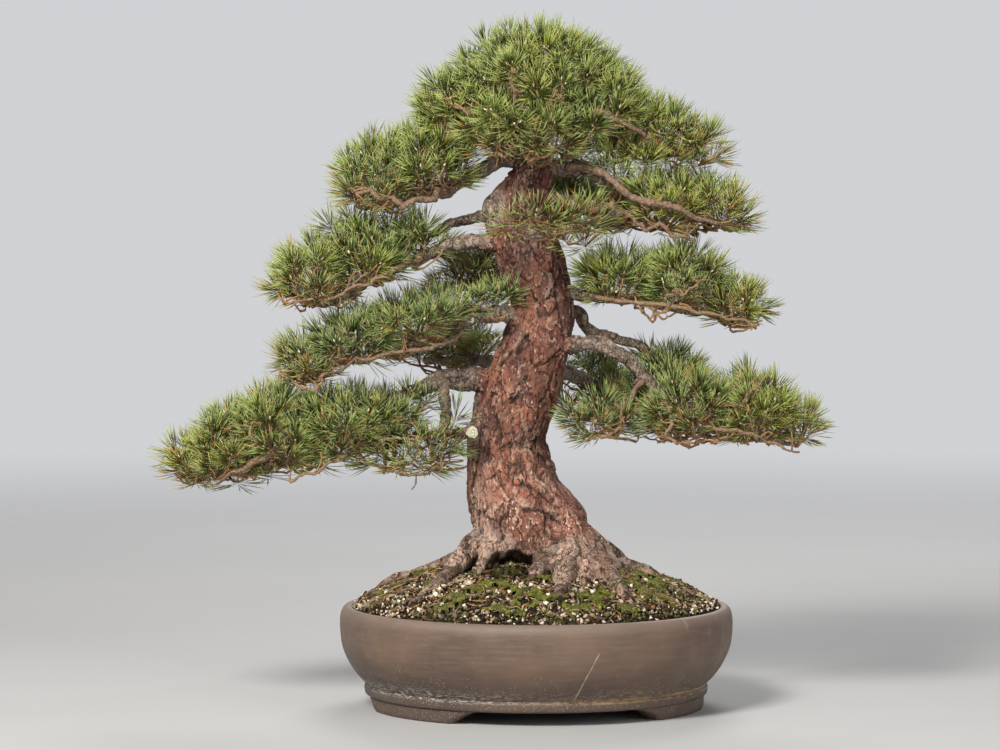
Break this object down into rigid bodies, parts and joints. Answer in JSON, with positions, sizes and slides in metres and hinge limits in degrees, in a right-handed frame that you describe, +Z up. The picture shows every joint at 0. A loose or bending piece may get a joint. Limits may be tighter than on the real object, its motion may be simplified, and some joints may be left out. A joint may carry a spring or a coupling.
{
  "type": "japanese red pine bonsai",
  "caption": "Japanese red pine bonsai with a leaning, flaky red trunk and layered needle pads, in a round unglazed drum pot on low feet with mossy gritty soil.",
  "frame": {"origin": "middle of the tree's footprint, at the level the pot's three feet stand on", "axes": "+Z up; +X to the right and -Y towards a viewer who faces the tree's front, where the long lowest branch reaches left"},
  "size_m": [0.9179, 0.541, 0.9414],
  "materials": {
    "pot_clay": "matte",
    "drain_mesh": "matte",
    "soil": "matte",
    "moss": "matte",
    "bark": "matte",
    "needles": "satin"
  },
  "bodies": {
    "root": {"pot": "pot_clay", "drain_mesh_centre": "drain_mesh", "drain_mesh_left": "drain_mesh", "drain_mesh_right": "drain_mesh", "soil": "soil", "moss_front_left": "moss", "moss_front_middle": "moss", "moss_front_right": "moss", "moss_right": "moss", "moss_back": "moss", "trunk_and_branches": "bark", "foliage_apex": "needles", "foliage_crown_right": "needles", "foliage_top_right": "needles", "foliage_top_left": "needles", "foliage_front": "needles", "foliage_left_high": "needles", "foliage_left_mid": "needles", "foliage_left_low": "needles", "foliage_left_drop": "needles", "foliage_right_high": "needles", "foliage_right_low": "needles", "foliage_back_low_left": "needles", "foliage_back_low_right": "needles", "foliage_back_mid": "needles", "foliage_back_high": "needles"}
  },
  "joints": []
}
